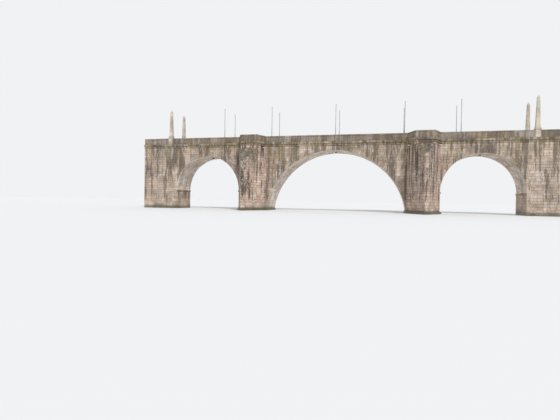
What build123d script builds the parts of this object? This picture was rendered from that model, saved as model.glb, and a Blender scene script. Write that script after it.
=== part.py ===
# Three-span stone arch bridge, a model at half the real size
# The origin is at the centre of the base, at the waterline. X runs along the bridge,
# Y runs across it with the near face looking to -Y, and Z is up. All sizes are in
# millimetres of the model, so a real metre is 500.

from build123d import *
import os
from math import atan2, degrees, hypot, sqrt

os.makedirs("parts", exist_ok=True)

# Arches: the centre one is struck from below the water, the side ones from an impost
CENTRE_RADIUS = 6300
CENTRE_DROP = 800
CENTRE_RING = 350
SIDE_RADIUS = 3265
SIDE_SPRING = 1820
SIDE_RING = 300

# Masonry in plan
BRIDGE_WIDTH = 3000
PIER_WIDTH = 2690
ABUTMENT_LENGTH = 3530
SPANDREL_WALL = 450
BANK_HAUNCH = 300

# Cutwaters and their half-cone caps, which start lower and rise more steeply on the left pier
CUTWATER_LENGTH = 3000
NOSE_WIDTH = 140
LEFT_NOSE_HEIGHT = 4300
LEFT_CAP_SLOPE = 0.78
RIGHT_NOSE_HEIGHT = 4800
RIGHT_CAP_SLOPE = 0.63
REFUGE_DEPTH = 1300

# Cornice: a bed fillet, a hollow and a square crest
CROWN_COVER = 40
BED_HEIGHT = 70
BED_PROJECTION = 45
HOLLOW_HEIGHT = 130
HOLLOW_PROJECTION = 60
CREST_HEIGHT = 160
CREST_LIP = 35

# Roadway and parapets
KERB_HEIGHT = 60
PAVING_THICKNESS = 90
PARAPET_SETBACK = 30
PARAPET_THICKNESS = 225
PARAPET_HEIGHT = 500
COPING_HEIGHT = 100
COPING_OVERHANG = 25
COPING_ROUNDING = 40
REFUGE_STUB = 250
MITRE_SPARE = 20

# Ledges
IMPOST_HEIGHT = 150
IMPOST_PROJECTION = 70
FOOTING_HEIGHT = 180
FOOTING_PROJECTION = 150
FOOTING_BEVEL = 60

# Entrance pinnacles
PINNACLE_SETBACK = 685
PEDESTAL_WIDTH = 450
PEDESTAL_RISE = 120
PINNACLE_BASE = 380
PINNACLE_FOOT = 320
PINNACLE_NECK = 190
PINNACLE_POINT = 16
PINNACLE_SHAFT = 2300
PINNACLE_TIP = 240
PLINTH_HEIGHT = 130

# Poles on the copings
POLE_HEIGHT = 2700
POLE_BASE_HEIGHT = 700
POLE_BASE_RADIUS = 32
POLE_TOP_RADIUS = 24
POLE_SHOE_RADIUS = 65
POLE_SHOE_HEIGHT = 25
POLE_CENTRE_X = 90
POLE_INNER_SETBACK = 350
POLE_OUTER_SETBACK = 1540

# Floodlights
LAMP_WIDTH = 170
LAMP_DEPTH = 110
LAMP_HEIGHT = 120
LAMP_ARM = 150
LAMP_ARM_SECTION = 40
LAMP_DROP = 60
CROWN_LAMP_STEM = 60

# Values that follow from the ones above
HALF_WIDTH = BRIDGE_WIDTH / 2
CENTRE_HALF_SPAN = sqrt(CENTRE_RADIUS**2 - CENTRE_DROP**2)
CENTRE_OUTER = CENTRE_RADIUS + CENTRE_RING
SIDE_OUTER = SIDE_RADIUS + SIDE_RING
PIER_X = CENTRE_HALF_SPAN + PIER_WIDTH / 2
PIER_END = CENTRE_HALF_SPAN + PIER_WIDTH
SIDE_X = PIER_END + SIDE_RADIUS
BANK_X = SIDE_X + SIDE_RADIUS
HAUNCH_X = SIDE_X + SIDE_OUTER + BANK_HAUNCH
BRIDGE_END = BANK_X + ABUTMENT_LENGTH
WALL_TOP = max(CENTRE_OUTER - CENTRE_DROP, SIDE_SPRING + SIDE_OUTER) + CROWN_COVER
CORNICE_TOP = WALL_TOP + BED_HEIGHT + HOLLOW_HEIGHT + CREST_HEIGHT
ROADWAY_TOP = CORNICE_TOP - KERB_HEIGHT
FILL_TOP = ROADWAY_TOP - PAVING_THICKNESS
CORNICE_REACH = BED_PROJECTION + HOLLOW_PROJECTION + CREST_LIP
PARAPET_TOP = CORNICE_TOP + PARAPET_HEIGHT
COPING_TOP = PARAPET_TOP + COPING_HEIGHT
WALL_INNER = HALF_WIDTH - SPANDREL_WALL
PARAPET_OUTER = HALF_WIDTH - PARAPET_SETBACK
PARAPET_AXIS = PARAPET_OUTER - PARAPET_THICKNESS / 2
CUTWATER_TIP = HALF_WIDTH + CUTWATER_LENGTH
CUTWATER_LEAN = (PIER_WIDTH - NOSE_WIDTH) / 2 / CUTWATER_LENGTH
PINNACLE_X = BANK_X + PINNACLE_SETBACK
PEDESTAL_AXIS = WALL_INNER + PEDESTAL_WIDTH / 2
FACES = {"near": -1, "far": 1}
ENDS = {"left": -1, "right": 1}
NOSE_HEIGHTS = {-1: LEFT_NOSE_HEIGHT, 1: RIGHT_NOSE_HEIGHT}
CAP_SLOPES = {-1: LEFT_CAP_SLOPE, 1: RIGHT_CAP_SLOPE}


def panel(x0, x1, z0, z1):
    """A rectangle in elevation, from its edges."""
    return Pos((x0 + x1) / 2, (z0 + z1) / 2) * Rectangle(abs(x1 - x0), z1 - z0)


def disc(x, z, radius):
    """A circle in elevation."""
    return Pos(x, z) * Circle(radius)


def across(elevation, y0, y1):
    """An elevation given its thickness from y0 to y1."""
    return Pos(0, max(y0, y1), 0) * extrude(Plane.XZ * elevation, amount=abs(y1 - y0), dir=(0, -1, 0))


def upright(plan, z0, z1):
    """A plan raised from z0 to z1."""
    return Pos(0, 0, z0) * extrude(plan, amount=z1 - z0, dir=(0, 0, 1))


def centre_disc():
    """The outline of the centre vault's back."""
    return disc(0, -CENTRE_DROP, CENTRE_OUTER)


def side_disc(end):
    """The outline of a side vault's back."""
    return disc(end * SIDE_X, SIDE_SPRING, SIDE_OUTER)


def save(node, shapes):
    """Write one node, made of one solid or of several that do not touch."""
    solids = [solid for shape in shapes for solid in shape.solids()]
    export_step(solids[0] if len(solids) == 1 else Compound(children=solids), f"parts/{node}.step")


# Vaults, piers and abutments

def centre_barrel():
    ring = centre_disc() - disc(0, -CENTRE_DROP, CENTRE_RADIUS)
    return across(ring & panel(-CENTRE_OUTER, CENTRE_OUTER, 0, CENTRE_OUTER), -HALF_WIDTH, HALF_WIDTH)


def side_barrel(end):
    ring = side_disc(end) - disc(end * SIDE_X, SIDE_SPRING, SIDE_RADIUS)
    above = panel(end * SIDE_X - SIDE_OUTER, end * SIDE_X + SIDE_OUTER, SIDE_SPRING, SIDE_SPRING + SIDE_OUTER)
    return across(ring & above, -HALF_WIDTH, HALF_WIDTH)


def pier(end):
    shaft = panel(end * CENTRE_HALF_SPAN / 2, end * PIER_END, 0, SIDE_SPRING)
    return across(shaft - centre_disc(), -HALF_WIDTH, HALF_WIDTH)


def abutment(end):
    lower = panel(end * BANK_X, end * BRIDGE_END, 0, SIDE_SPRING)
    upper = panel(end * HAUNCH_X, end * BRIDGE_END, SIDE_SPRING, WALL_TOP)
    core = panel(end * HAUNCH_X, end * BRIDGE_END, SIDE_SPRING, FILL_TOP)
    return across(lower + upper, -HALF_WIDTH, HALF_WIDTH) + across(core, -WALL_INNER, WALL_INNER)


# Spandrel walls, fill and paving

def pier_spandrel(end, face):
    wall = panel(0, end * SIDE_X, SIDE_SPRING, WALL_TOP) - centre_disc() - side_disc(end)
    return across(wall, face * WALL_INNER, face * HALF_WIDTH)


def bank_spandrel(end, face):
    wall = panel(end * SIDE_X, end * HAUNCH_X, SIDE_SPRING, WALL_TOP) - side_disc(end)
    return across(wall, face * WALL_INNER, face * HALF_WIDTH)


def rubble_fill():
    body = panel(-HAUNCH_X, HAUNCH_X, SIDE_SPRING, FILL_TOP) - centre_disc()
    for end in ENDS.values():
        body -= side_disc(end)
    return across(body, -WALL_INNER, WALL_INNER)


def roadway():
    return across(panel(-BRIDGE_END, BRIDGE_END, FILL_TOP, ROADWAY_TOP), -WALL_INNER, WALL_INNER)


# Cutwaters: triangles in plan with a blunt nose

def half_width_at(y, inset=0):
    """Half the cutwater's width at y out from the pier's face, set in square to its sides."""
    return PIER_WIDTH / 2 - CUTWATER_LEAN * y - inset * hypot(1, CUTWATER_LEAN)


def tapered_corners(end, face, y0, y1, inset=0):
    """Four corners between y0 and y1 out from the pier's face, from left to right."""
    points = [
        (-half_width_at(y0, inset), y0),
        (-half_width_at(y1, inset), y1),
        (half_width_at(y1, inset), y1),
        (half_width_at(y0, inset), y0),
    ]
    return [(end * PIER_X + x, face * (HALF_WIDTH + y)) for x, y in points]


def tapered_plan(end, face, y0, y1, inset=0):
    corners = tapered_corners(end, face, y0, y1, inset)
    return Polygon(*(corners if face < 0 else reversed(corners)), align=None)


def refuge_corners(end, face):
    return tapered_corners(end, face, 0, REFUGE_DEPTH)


def pier_outline(end):
    """The pier with both its cutwaters, in plan."""
    half = PIER_WIDTH / 2
    nose = NOSE_WIDTH / 2
    right = [(nose, -CUTWATER_TIP), (half, -HALF_WIDTH), (half, HALF_WIDTH), (nose, CUTWATER_TIP)]
    left = [(-x, y) for x, y in reversed(right)]
    return Pos(end * PIER_X, 0) * Polygon(*(right + left), align=None)


def cutwater(end, face):
    return upright(tapered_plan(end, face, 0, CUTWATER_LENGTH), 0, NOSE_HEIGHTS[end])


def cutwater_cap(end, face):
    """The prism above the nose's height, cut to a cone struck from the pier's face."""
    nose, slope = NOSE_HEIGHTS[end], CAP_SLOPES[end]
    apex = nose + slope * CUTWATER_LENGTH
    reach = CUTWATER_LENGTH + PIER_WIDTH
    foot = apex - slope * reach
    cone = Pos(end * PIER_X, face * HALF_WIDTH, foot) * Cone(
        reach, 0, apex - foot, align=(Align.CENTER, Align.CENTER, Align.MIN)
    )
    prism = upright(tapered_plan(end, face, 0, CUTWATER_LENGTH), nose, WALL_TOP)
    base = upright(tapered_plan(end, face, 0, REFUGE_DEPTH), nose, WALL_TOP)
    return (prism & cone) + base


# Cornice, parapet and coping: one outline each, run straight or round a refuge

def cornice_outline():
    """The moulding in section: x is measured out from the wall's face, y up from the wall's top."""
    shelf = BED_HEIGHT + HOLLOW_HEIGHT
    hollow = BED_PROJECTION + HOLLOW_PROJECTION
    height = shelf + CREST_HEIGHT
    edges = [
        Line((-SPANDREL_WALL, 0), (BED_PROJECTION, 0)),
        Line((BED_PROJECTION, 0), (BED_PROJECTION, BED_HEIGHT)),
        EllipticalCenterArc((hollow, BED_HEIGHT), HOLLOW_PROJECTION, HOLLOW_HEIGHT, start_angle=90, arc_size=90),
        Line((hollow, shelf), (CORNICE_REACH, shelf)),
        Line((CORNICE_REACH, shelf), (CORNICE_REACH, height)),
        Line((CORNICE_REACH, height), (-SPANDREL_WALL, height)),
        Line((-SPANDREL_WALL, height), (-SPANDREL_WALL, 0)),
    ]
    return Pos(0, WALL_TOP) * make_face(edges)


def parapet_outline():
    left = -PARAPET_SETBACK - PARAPET_THICKNESS
    return panel(left, -PARAPET_SETBACK, CORNICE_TOP, PARAPET_TOP)


def coping_outline():
    left = -PARAPET_SETBACK - PARAPET_THICKNESS - COPING_OVERHANG
    stone = panel(left, COPING_OVERHANG - PARAPET_SETBACK, PARAPET_TOP, COPING_TOP)
    top = stone.vertices().group_by(Axis.Y)[-1]
    return fillet(top, COPING_ROUNDING)


def section_plane(start, way, face):
    """The plane square to a run that sets out from start, with its own x out from the bridge."""
    out = (way[1], -way[0], 0) if face < 0 else (-way[1], way[0], 0)
    return Plane(origin=(*start, 0), x_dir=out, z_dir=(way[0] * face, way[1] * face, 0))


def bar(outline, face, start, stop, spare=0):
    """The outline led straight from start to stop, with spare length past both."""
    length = hypot(stop[0] - start[0], stop[1] - start[1])
    way = ((stop[0] - start[0]) / length, (stop[1] - start[1]) / length)
    foot = (start[0] - way[0] * spare, start[1] - way[1] * spare)
    plane = section_plane(foot, way, face)
    return extrude(plane * outline, amount=length + 2 * spare, dir=(way[0], way[1], 0))


def straight_run(outline, face, x0, x1):
    return bar(outline, face, (x0, face * HALF_WIDTH), (x1, face * HALF_WIDTH))


def refuge_route(end, face, out):
    """The way round a refuge, with a stub along the wall at each side, set out by a distance."""
    corner = half_width_at(out, -out)
    front = half_width_at(REFUGE_DEPTH + out, -out)
    right = [(front, REFUGE_DEPTH + out), (corner, out), (PIER_WIDTH / 2 + REFUGE_STUB, out)]
    points = [(-x, y) for x, y in reversed(right)] + right
    return [(end * PIER_X + x, face * (HALF_WIDTH + y)) for x, y in points]


def refuge_run(outline, end, face):
    """The outline led round a refuge, each leg trimmed where it mitres with the next."""
    line = refuge_route(end, face, 0)
    outer = refuge_route(end, face, CORNICE_REACH + MITRE_SPARE)
    inner = refuge_route(end, face, -SPANDREL_WALL - MITRE_SPARE)
    ring = None
    for i in range(len(line) - 1):
        cell = [outer[i], outer[i + 1], inner[i + 1], inner[i]]
        plan = Polygon(*(cell if face > 0 else reversed(cell)), align=None)
        leg = bar(outline, face, line[i], line[i + 1], SPANDREL_WALL) & upright(plan, WALL_TOP, COPING_TOP)
        ring = leg if ring is None else ring + leg
    return ring


def run_limits():
    """The straight runs along one face, between the refuge stubs."""
    inner = PIER_X - PIER_WIDTH / 2 - REFUGE_STUB
    outer = PIER_X + PIER_WIDTH / 2 + REFUGE_STUB
    return [(-BRIDGE_END, -outer), (-inner, inner), (outer, BRIDGE_END)]


def parapet_limits():
    """The same runs, cut where the entrance pedestals stand."""
    inner = PINNACLE_X - PEDESTAL_WIDTH / 2
    outer = PINNACLE_X + PEDESTAL_WIDTH / 2
    left, middle, right = run_limits()
    return [(left[0], -outer), (-inner, left[1]), middle, (right[0], inner), (outer, right[1])]


def refuge_floor(end, face):
    """The floor inside the refuge's cornice, from the roadway out."""
    plan = tapered_plan(end, face, -SPANDREL_WALL, REFUGE_DEPTH - SPANDREL_WALL, SPANDREL_WALL)
    return upright(plan, WALL_TOP, ROADWAY_TOP)


# Ledges at the springings and at the water

def imposts(end):
    """A squared band on each jamb, right through the arch."""
    bands = []
    for jamb, inward in ((PIER_END, 1), (BANK_X, -1)):
        x0, x1 = sorted((end * jamb, end * (jamb + inward * IMPOST_PROJECTION)))
        band = panel(x0, x1, SIDE_SPRING - IMPOST_HEIGHT, SIDE_SPRING)
        bands.append(across(band, -HALF_WIDTH, HALF_WIDTH))
    return bands


def pier_footing(end):
    """A low bevelled ledge round the pier and its cutwaters."""
    outline = pier_outline(end)
    grown = offset(outline, FOOTING_PROJECTION, kind=Kind.INTERSECTION)
    ledge = upright(grown, 0, FOOTING_HEIGHT)
    top = ledge.faces().sort_by(Axis.Z)[-1]
    ledge = chamfer(top.edges(), FOOTING_BEVEL)
    return ledge - upright(outline, 0, FOOTING_HEIGHT) - centre_barrel()


# Entrance pinnacles

def pedestal(end, face):
    top = COPING_TOP + PEDESTAL_RISE
    return upright(
        Pos(end * PINNACLE_X, face * PEDESTAL_AXIS) * Rectangle(PEDESTAL_WIDTH, PEDESTAL_WIDTH), CORNICE_TOP, top
    )


def pinnacle(end, face):
    """A square plinth, a tapered shaft and a pointed tip."""
    spot = Pos(end * PINNACLE_X, face * PEDESTAL_AXIS, COPING_TOP + PEDESTAL_RISE)
    plinth = upright(Rectangle(PINNACLE_BASE, PINNACLE_BASE), 0, PLINTH_HEIGHT)
    shaft = tapered_square(PINNACLE_FOOT, PINNACLE_NECK, PINNACLE_SHAFT)
    tip = tapered_square(PINNACLE_NECK, PINNACLE_POINT, PINNACLE_TIP)
    shaft_top = PLINTH_HEIGHT + PINNACLE_SHAFT
    return spot * (plinth + Pos(0, 0, PLINTH_HEIGHT) * shaft + Pos(0, 0, shaft_top) * tip)


def tapered_square(base, top, height):
    return extrude(Rectangle(base, base), amount=height, taper=degrees(atan2((base - top) / 2, height)))


# Poles and lamps

def pole(x, face):
    """A tube stepped in above its lower length, on a round shoe, on the coping."""
    lower = (Align.CENTER, Align.CENTER, Align.MIN)
    shoe = Cylinder(POLE_SHOE_RADIUS, POLE_SHOE_HEIGHT, align=lower)
    base = Cylinder(POLE_BASE_RADIUS, POLE_BASE_HEIGHT, align=lower)
    shaft = Cylinder(POLE_TOP_RADIUS, POLE_HEIGHT, align=lower)
    return Pos(x, face * PARAPET_AXIS, COPING_TOP) * (shoe + base + shaft)


def pole_places():
    """One near the crown of the centre arch, one inside each pier and one outside."""
    spacing = CENTRE_HALF_SPAN - POLE_INNER_SETBACK
    middle = [POLE_CENTRE_X - spacing, POLE_CENTRE_X, POLE_CENTRE_X + spacing]
    outer = PIER_END + POLE_OUTER_SETBACK
    return [-outer, *middle, outer]


def side_floodlight(end, face, side):
    """A lamp box on an arm, on the side of a refuge's base, under the cornice."""
    (x0, y0), (x1, y1) = refuge_corners(end, face)[:2] if side < 0 else refuge_corners(end, face)[:1:-1]
    middle = ((x0 + x1) / 2, (y0 + y1) / 2)
    run = hypot(x1 - x0, y1 - y0)
    outward = (side * abs(y1 - y0) / run, face * abs(x1 - x0) / run)
    turn = degrees(atan2(outward[1], outward[0]))
    arm_z = WALL_TOP - LAMP_DROP - LAMP_ARM_SECTION
    near_end = (Align.MIN, Align.CENTER, Align.MIN)
    arm = Box(LAMP_ARM, LAMP_ARM_SECTION, LAMP_ARM_SECTION, align=near_end)
    lamp = Pos(LAMP_ARM, 0, LAMP_ARM_SECTION - LAMP_HEIGHT) * Box(LAMP_DEPTH, LAMP_WIDTH, LAMP_HEIGHT, align=near_end)
    return Pos(middle[0], middle[1], arm_z) * (Rot(0, 0, turn) * (arm + lamp))


def crown_lamp(x, centre, radius):
    """A lamp box on a stem under a vault's crown."""
    crown = centre + sqrt(radius**2 - (LAMP_ARM_SECTION / 2) ** 2)
    hung = (Align.CENTER, Align.CENTER, Align.MAX)
    stem = Box(LAMP_ARM_SECTION, LAMP_ARM_SECTION, CROWN_LAMP_STEM, align=hung)
    lamp = Pos(0, 0, -CROWN_LAMP_STEM) * Box(LAMP_WIDTH, LAMP_WIDTH, LAMP_DEPTH, align=hung)
    return Pos(x, 0, crown) * (stem + lamp)


# The nodes

for side, end in ENDS.items():
    save(f"{side}_abutment", [abutment(end)])
    save(f"{side}_pier", [pier(end)])
    save(f"{side}_arch_barrel", [side_barrel(end)])
    save(f"{side}_arch_imposts", imposts(end))
    save(f"{side}_pier_footing", [pier_footing(end)])
    for name, face in FACES.items():
        save(f"{name}_{side}_pier_spandrel", [pier_spandrel(end, face)])
        save(f"{name}_{side}_bank_spandrel", [bank_spandrel(end, face)])
        save(f"{name}_{side}_cutwater", [cutwater(end, face)])
        save(f"{name}_{side}_cutwater_cap", [cutwater_cap(end, face)])

save("centre_arch_barrel", [centre_barrel()])
save("rubble_fill", [rubble_fill()])
save("roadway", [roadway()])

for name, face in FACES.items():
    outlines = {"cornice": cornice_outline(), "parapet": parapet_outline(), "coping": coping_outline()}
    for piece, outline in outlines.items():
        limits = run_limits() if piece == "cornice" else parapet_limits()
        save(f"{name}_{piece}_runs", [straight_run(outline, face, x0, x1) for x0, x1 in limits])
        save(f"{name}_refuge_{piece}s", [refuge_run(outline, end, face) for end in ENDS.values()])
    save(f"{name}_poles", [pole(x, face) for x in pole_places()])

places = [(end, face) for end in ENDS.values() for face in FACES.values()]
save("refuge_floors", [refuge_floor(end, face) for end, face in places])
save("pinnacle_pedestals", [pedestal(end, face) for end, face in places])
save("entrance_pinnacles", [pinnacle(end, face) for end, face in places])
save("pier_floodlights", [side_floodlight(end, face, side) for end, face in places for side in (-1, 1)])
arches = [(end * SIDE_X, SIDE_SPRING, SIDE_RADIUS) for end in ENDS.values()] + [(0, -CENTRE_DROP, CENTRE_RADIUS)]
save("crown_lamps", [crown_lamp(x, centre, radius) for x, centre, radius in arches])
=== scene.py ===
# Three-span stone arch bridge at half size: the stones, paving, lamps and weathering that
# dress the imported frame. Lengths are in metres of the model, Z is up, and the near face
# looks to -Y.

import random
from math import acos, asin, ceil, copysign, cos, hypot, pi, radians, sin, sqrt

import bmesh
import bpy
import numpy as np
from mathutils import Matrix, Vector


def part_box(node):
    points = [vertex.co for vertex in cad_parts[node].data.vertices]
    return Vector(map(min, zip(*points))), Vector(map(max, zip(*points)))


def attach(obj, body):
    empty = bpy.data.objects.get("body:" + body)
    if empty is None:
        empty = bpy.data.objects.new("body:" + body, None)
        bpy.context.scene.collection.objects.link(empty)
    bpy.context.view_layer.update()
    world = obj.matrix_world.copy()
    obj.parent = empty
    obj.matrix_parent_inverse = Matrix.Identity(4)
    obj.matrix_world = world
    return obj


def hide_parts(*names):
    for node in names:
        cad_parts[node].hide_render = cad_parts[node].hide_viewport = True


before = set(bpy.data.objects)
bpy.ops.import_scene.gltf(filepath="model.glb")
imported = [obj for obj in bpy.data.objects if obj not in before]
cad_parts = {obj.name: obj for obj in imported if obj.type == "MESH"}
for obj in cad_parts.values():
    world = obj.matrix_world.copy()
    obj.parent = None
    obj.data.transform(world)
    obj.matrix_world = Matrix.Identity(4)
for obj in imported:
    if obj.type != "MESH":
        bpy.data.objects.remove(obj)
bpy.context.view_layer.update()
chance = random.Random(31)

# How stones stand out of the frame and reach into it, and their joints and edges
PROUD = 0.006
BURIED = 0.03
JOINT = 0.009
DRAWN_PROUD = PROUD + JOINT / 2
BED = 0.012
BEVEL = 0.007
WEAR = 0.003
THINNEST = 0.045
CORE_INSET = 0.008
CORE_SUNK = 0.004
RUN_PROUD = 0.003
SHARPEST_MITRE = 0.3

# Sizes of the stones. VOUSSOIR_SHORT is a share of the depth, REFUGE_SHARE of the lengths along
# the straight runs, and REFUGE_SLAB_JOINT of a refuge's half width.
COURSE = 0.235
ASHLAR_LENGTH = 0.50
VOUSSOIR_WIDTH = 0.19
VOUSSOIR_DEPTH = 0.55
VOUSSOIR_SHORT = 0.62
QUOIN_LONG = 0.46
QUOIN_SHORT = 0.26
CAP_RINGS = (0.2, 0.55, 0.9, 1.2)
CAP_SLAB_LENGTH = 0.42
CAP_SLAB_AREA = 0.012
CAP_OVERHANG = 0.01
REFUGE_SLAB_JOINT = 0.35
CORNICE_LENGTH = 0.85
PARAPET_LENGTH = 1.15
COPING_LENGTH = 0.95
REFUGE_SHARE = 0.8
LEDGE_LENGTH = 0.70
SETT_LENGTH = 0.125
SETT_WIDTH = 0.085
SETT_DEPTH = 0.02
SETT_GAP = 0.003
SETT_SHOULDER = 0.008
SETT_SUNK = 0.004
SETT_UNEVENNESS = 0.1
DRUMS = 6
DRUM_BEVEL = 0.02
DRUM_GAP = 0.003
PEDESTAL_CAP = 0.12
PEDESTAL_SET_IN = 0.015
PEDESTAL_GAP = 0.004

# Sizes that the frame's boxes do not give. CAP_SLOPES are for the left and the right pier, and
# IMPOST_LEVEL and IMPOST_SLOPE are shares of the imposts' projection.
NOSE_WIDTH = 0.14
REFUGE_DEPTH = 1.3
REFUGE_STUB = 0.25
CAP_SLOPES = {-1: 0.78, 1: 0.63}
SPANDREL_WALL = 0.45
BED_HEIGHT = 0.07
BED_PROJECTION = 0.045
HOLLOW_HEIGHT = 0.13
HOLLOW_PROJECTION = 0.06
CREST_LIP = 0.035
PARAPET_SETBACK = 0.03
PARAPET_THICKNESS = 0.225
COPING_OVERHANG = 0.025
COPING_ROUNDING = 0.04
IMPOST_PROJECTION = 0.07
IMPOST_LEVEL = 0.55
IMPOST_SLOPE = 0.6
FOOTING_BEVEL = 0.06
PLINTH_HEIGHT = 0.13
PINNACLE_BASE = 0.38
PINNACLE_FOOT = 0.32
PINNACLE_NECK = 0.19
PINNACLE_POINT = 0.016
PINNACLE_TIP = 0.24

# Poles and lamps. LAMP_RIM, LAMP_BAND and LENS_TOP are shares of a lamp's height.
POLE_CENTRE_X = 0.09
POLE_INNER_SETBACK = 0.35
POLE_SHOE_RADIUS = 0.065
POLE_SHOE_HEIGHT = 0.025
BOLT_CIRCLE = 0.052
LAMP_WIDTH = 0.17
LAMP_DEPTH = 0.11
LAMP_HEIGHT = 0.12
LAMP_ARM = 0.15
LAMP_ARM_SECTION = 0.04
LAMP_DROP = 0.06
CROWN_LAMP_STEM = 0.06
LAMP_PLATE = 0.1
LAMP_PLATE_THICKNESS = 0.012
LAMP_RIM = 0.9
LAMP_BAND = 0.72
LENS_TOP = 0.88
LENS_INSET = 0.014
FINS = 9
FIN_HEIGHT = 0.03
FIN_INSET = 0.008
FIN_MARGIN = 0.01
OVERLAP = 0.002

# Turned outlines, as radius and height from the shoe, or from the pole's top
BOLT = [(0.009, -0.002), (0.009, 0.009), (0.005, 0.010), (0.005, 0.018)]
COLLAR = [(0.033, 0.655), (0.037, 0.665), (0.037, 0.69), (0.025, 0.705)]
POLE_HEAD = [(0.025, -0.06), (0.031, -0.055), (0.031, -0.012), (0.018, -0.001), (0.004, 0.0)]

# A hook's outline about the pole's top, and how far it stands from the axis
HOOK = (-0.006, 0.006, -0.048, -0.022)
HOOK_REACH = (0.02, 0.06)

# Camera and floor
CAMERA_PLACE = (4.975, -39.0, 0.95)
CAMERA_YAW = 14.72
CAMERA_PITCH = -1.34
CAMERA_ROLL = 0.91
CAMERA_LENS = 27.06
SENSOR_WIDTH = 36.0
CAMERA_REACH = 2000.0
FLOOR_RADIUS = 700.0
FLOOR_SIDES = 64


def low_of(node):
    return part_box(node)[0]


def high_of(node):
    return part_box(node)[1]


# Sizes that the frame's boxes give
centre_high = high_of("centre_arch_barrel")
side_low, side_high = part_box("right_arch_barrel")
cutwater_low, cutwater_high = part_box("near_right_cutwater")
pedestal_high = high_of("pinnacle_pedestals")
HALF_WIDTH = centre_high.y
CENTRE_OUTER = (centre_high.x**2 + centre_high.z**2) / (2 * centre_high.z)
CENTRE_DROP = CENTRE_OUTER - centre_high.z
CENTRE_HALF_SPAN = cutwater_low.x
CENTRE_RADIUS = hypot(CENTRE_HALF_SPAN, CENTRE_DROP)
PIER_END = cutwater_high.x
PIER_X = (CENTRE_HALF_SPAN + PIER_END) / 2
PIER_HALF = (PIER_END - CENTRE_HALF_SPAN) / 2
CUTWATER_LENGTH = -cutwater_low.y - HALF_WIDTH
NOSE_HEIGHTS = {-1: high_of("near_left_cutwater").z, 1: cutwater_high.z}
SIDE_X = (side_low.x + side_high.x) / 2
SIDE_OUTER = (side_high.x - side_low.x) / 2
SIDE_SPRING = side_low.z
SIDE_RADIUS = SIDE_X - PIER_END
BANK_X = SIDE_X + SIDE_RADIUS
HAUNCH_X = high_of("rubble_fill").x
BRIDGE_END = high_of("right_abutment").x
IMPOST_FOOT = low_of("right_arch_imposts").z
FOOTING_REACH = -low_of("right_pier_footing").y - HALF_WIDTH - CUTWATER_LENGTH
FOOTING_HEIGHT = high_of("right_pier_footing").z
WALL_TOP = low_of("near_cornice_runs").z
CORNICE_TOP = high_of("near_cornice_runs").z
FILL_TOP = low_of("roadway").z
ROADWAY_TOP = high_of("roadway").z
PARAPET_TOP = high_of("near_parapet_runs").z
COPING_TOP = high_of("near_coping_runs").z
WALL_INNER = HALF_WIDTH - SPANDREL_WALL
PEDESTAL_TOP = pedestal_high.z
PEDESTAL_HALF = (pedestal_high.y - WALL_INNER) / 2
PEDESTAL_AXIS = pedestal_high.y - PEDESTAL_HALF
PINNACLE_X = pedestal_high.x - PEDESTAL_HALF
PINNACLE_TOP = high_of("entrance_pinnacles").z
POLE_TOP = high_of("near_poles").z
POLE_OUTER_X = high_of("near_poles").x - POLE_SHOE_RADIUS

# A cutwater's flanks: how they lean in, and their lengths
CUTWATER_LEAN = (PIER_HALF - NOSE_WIDTH / 2) / CUTWATER_LENGTH
SLANT = hypot(1, CUTWATER_LEAN)
FLANK_LENGTH = CUTWATER_LENGTH * SLANT
REFUGE_FLANK = REFUGE_DEPTH * SLANT

FACES = {"near": -1, "far": 1}
ENDS = {"left": -1, "right": 1}


# Outlines


def area(outline):
    x, y = outline[:, 0], outline[:, 1]
    return (x @ np.roll(y, -1) - y @ np.roll(x, -1)) / 2


def inset(outline, amount):
    """The closed outline moved in by an amount, with mitred corners. Its points run anticlockwise."""
    sides = np.roll(outline, -1, axis=0) - outline
    sides /= np.linalg.norm(sides, axis=1)[:, None]
    inward = np.column_stack([-sides[:, 1], sides[:, 0]])
    before = np.roll(inward, 1, axis=0)
    share = np.maximum(1 + (inward * before).sum(axis=1), SHARPEST_MITRE)
    return outline + amount * (inward + before) / share[:, None]


def without_spare_points(outline, slack=0.001):
    """The outline without the points that lie in line with their neighbours."""
    kept = []
    for i, point in enumerate(outline):
        last = kept[-1] if kept else outline[-1]
        run = outline[(i + 1) % len(outline)] - last
        length = hypot(*run)
        off = abs(run[0] * (point[1] - last[1]) - run[1] * (point[0] - last[0]))
        if length < slack or off / length > slack:
            kept.append(point)
    return np.array(kept)


def rectangle(x0, x1, z0, z1):
    return np.array([(x0, z0), (x1, z0), (x1, z1), (x0, z1)], float)


def cell(x0, x1, z0, z1, under=None, over=None):
    """A stone's outline between two upright and two level joints, cut to a line under or over it."""
    if under is None and over is None:
        return rectangle(x0, x1, z0, z1)
    for steps in (40, 8):
        xs = np.linspace(x0, x1, steps + 1)
        low = np.maximum(z0, under(xs)) if under else np.full_like(xs, z0)
        high = np.minimum(z1, over(xs)) if over else np.full_like(xs, z1)
        kept = high - low > THINNEST
        if kept.sum() < 2:
            return None
        x0, x1 = xs[kept][0], xs[kept][-1]
    if abs(x1 - x0) < THINNEST:
        return None
    there = np.column_stack([xs[kept], low[kept]])
    back = np.column_stack([xs[kept], high[kept]])[::-1]
    outline = without_spare_points(np.vstack([there, back]))
    return outline if len(outline) > 2 else None


def clipped(outline, normal, limit):
    """The part of a convex outline on the near side of a line."""
    made = []
    for i, point in enumerate(outline):
        following = outline[(i + 1) % len(outline)]
        here, there = point @ normal - limit, following @ normal - limit
        if here <= 0:
            made.append(point)
        if here * there < 0:
            made.append(point + (following - point) * here / (here - there))
    return np.array(made)


def arc(centre, radii, start, stop, steps):
    """Points on an ellipse's arc, with the angles in degrees."""
    angles = np.radians(np.linspace(start, stop, steps + 1))
    return [(centre[0] + radii[0] * cos(a), centre[1] + radii[1] * sin(a)) for a in angles]


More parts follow.
